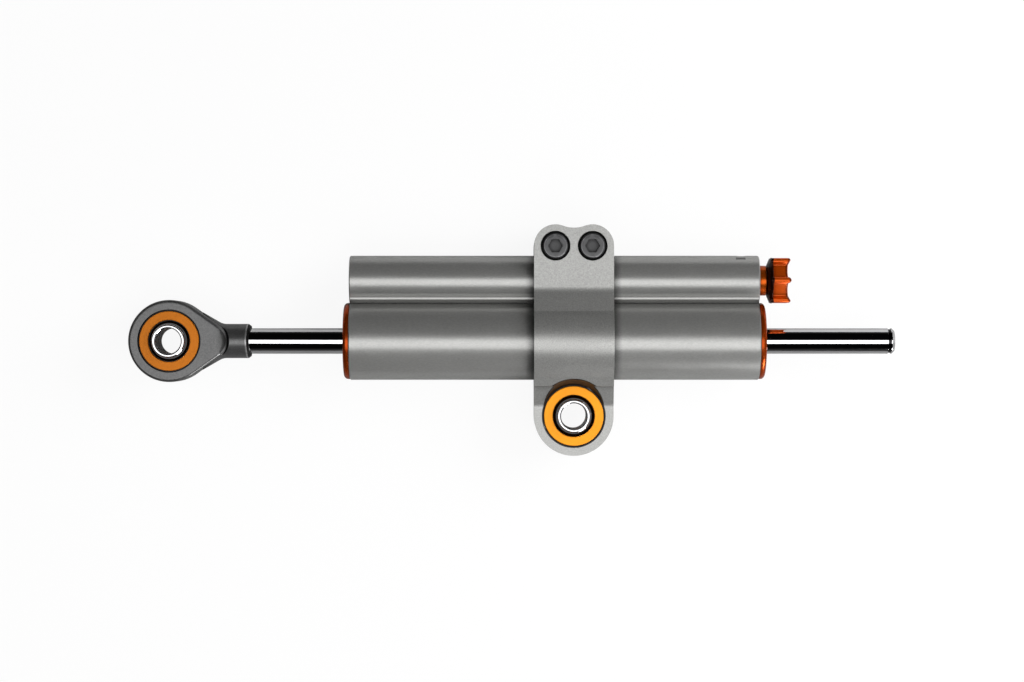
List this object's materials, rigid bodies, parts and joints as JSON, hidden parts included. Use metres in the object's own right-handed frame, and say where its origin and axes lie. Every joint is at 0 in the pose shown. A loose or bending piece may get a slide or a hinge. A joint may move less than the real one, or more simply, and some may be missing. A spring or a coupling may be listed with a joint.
{
  "type": "motorcycle steering damper",
  "caption": "Twin-lobed through-rod steering damper with a rod-end eye, a split bearing clamp on its body and a click adjuster knob.",
  "frame": {"origin": "centre of the spherical bearing in the clamp", "axes": "+Z along that bearing's bore; +X along the piston rod, towards the adjuster knob; +Y from the clamp's bearing towards the adjuster's lobe"},
  "size_m": [0.2992, 0.0899, 0.0384],
  "materials": {
    "body_anodised": "bead-blasted, titanium-grey anodised aluminium extrusion",
    "clamp_anodised": "machined, titanium-grey anodised aluminium",
    "eye_anodised": "dark grey hard-anodised aluminium",
    "orange_anodised": "orange anodised aluminium, satin",
    "ring_orange": "bright orange anodised aluminium, matt",
    "chrome": "hard chrome, ground and polished",
    "bearing_steel": "polished bearing steel",
    "screw_steel": "black-oxide alloy steel",
    "spring_steel": "drawn spring steel",
    "valve_steel": "ground stainless steel",
    "bronze": "sintered bronze",
    "seal_rubber": "nitrile rubber",
    "piston_plastic": "carbon-filled PTFE"
  },
  "bodies": {
    "damper_body": {"body_extrusion": "body_anodised", "seal_head_left": "orange_anodised", "seal_head_right": "orange_anodised", "head_o_ring_left": "seal_rubber", "head_o_ring_right": "seal_rubber", "guide_bush_left": "bronze", "guide_bush_right": "bronze", "rod_seal_left": "seal_rubber", "rod_seal_right": "seal_rubber", "rod_wiper_left": "seal_rubber", "rod_wiper_right": "seal_rubber", "adjuster_housing": "orange_anodised", "housing_o_ring": "seal_rubber", "spindle_o_ring": "seal_rubber", "needle_guide": "bronze", "detent_spring": "spring_steel", "detent_screw": "screw_steel", "compensator_plug": "screw_steel", "plug_o_ring": "seal_rubber", "compensator_spring": "spring_steel"},
    "band": {"piston_band": "piston_plastic", "piston_energiser": "seal_rubber"},
    "rod": {"piston_rod": "chrome", "piston": "valve_steel", "piston_shims": "spring_steel", "piston_circlips": "spring_steel", "rod_eye": "eye_anodised", "eye_race": "bearing_steel", "eye_ring_front": "ring_orange", "eye_ring_back": "ring_orange"},
    "eye_ball": {"eye_ball": "bearing_steel"},
    "eye_sleeve": {"eye_sleeve": "bearing_steel"},
    "clamp": {"clamp_bracket": "clamp_anodised", "clamp_screws": "screw_steel", "clamp_race": "bearing_steel", "clamp_ring_front": "ring_orange", "clamp_ring_back": "ring_orange"},
    "clamp_ball": {"clamp_ball": "bearing_steel"},
    "clamp_sleeve": {"clamp_sleeve": "bearing_steel"},
    "adjuster": {"adjuster_knob": "orange_anodised", "knob_screw": "screw_steel", "adjuster_spindle": "valve_steel"},
    "needle": {"needle": "valve_steel"},
    "detent_ball": {"detent_ball": "bearing_steel"},
    "compensator": {"floating_piston": "valve_steel", "floating_piston_o_ring": "seal_rubber"}
  },
  "joints": [
    {"name": "rod_slide", "type": "slide", "parent": "damper_body", "child": "band", "axis": [1, 0, 0], "range_m": [-0.04, 0.035]},
    {"name": "rod_spin", "type": "hinge", "parent": "band", "child": "rod", "pos_m": [0, 0.0292, 0], "axis": [1, 0, 0], "continuous": true},
    {"name": "eye_ball_tilt", "type": "hinge", "parent": "rod", "child": "eye_ball", "pos_m": [-0.1576, 0.0292, 0], "axis": [0, 1, 0], "range_deg": [-10, 10]},
    {"name": "eye_sleeve_spin", "type": "hinge", "parent": "eye_ball", "child": "eye_sleeve", "pos_m": [-0.1576, 0.0292, 0], "axis": [0, 0, 1], "continuous": true},
    {"name": "clamp_slide", "type": "slide", "parent": "damper_body", "child": "clamp", "axis": [1, 0, 0], "range_m": [-0.07, 0.055]},
    {"name": "clamp_ball_tilt", "type": "hinge", "parent": "clamp", "child": "clamp_ball", "pos_m": [0, 0, 0], "axis": [0, 1, 0], "range_deg": [-10, 10]},
    {"name": "clamp_sleeve_spin", "type": "hinge", "parent": "clamp_ball", "child": "clamp_sleeve", "pos_m": [0, 0, 0], "axis": [0, 0, 1], "continuous": true},
    {"name": "adjuster_turn", "type": "hinge", "parent": "damper_body", "child": "adjuster", "pos_m": [0, 0.05285, 0], "axis": [1, 0, 0], "range_deg": [-360, 720]},
    {"name": "needle_slide", "type": "slide", "parent": "damper_body", "child": "needle", "axis": [1, 0, 0], "range_m": [-0.001, 0.002]},
    {"name": "detent_ball_lift", "type": "slide", "parent": "damper_body", "child": "detent_ball", "axis": [0, 1, 0], "range_m": [-0.0004, 0], "stiffness_N_per_m": 2500, "springref_m": -0.0008, "deforming": ["detent_spring"]},
    {"name": "compensator_slide", "type": "slide", "parent": "damper_body", "child": "compensator", "axis": [1, 0, 0], "range_m": [-0.004, 0.003], "stiffness_N_per_m": 1500, "deforming": ["compensator_spring"]}
  ],
  "couplings": [
    {"joint": "needle_slide", "follows": "adjuster_turn", "m_per_rad": 0.00015915}
  ]
}
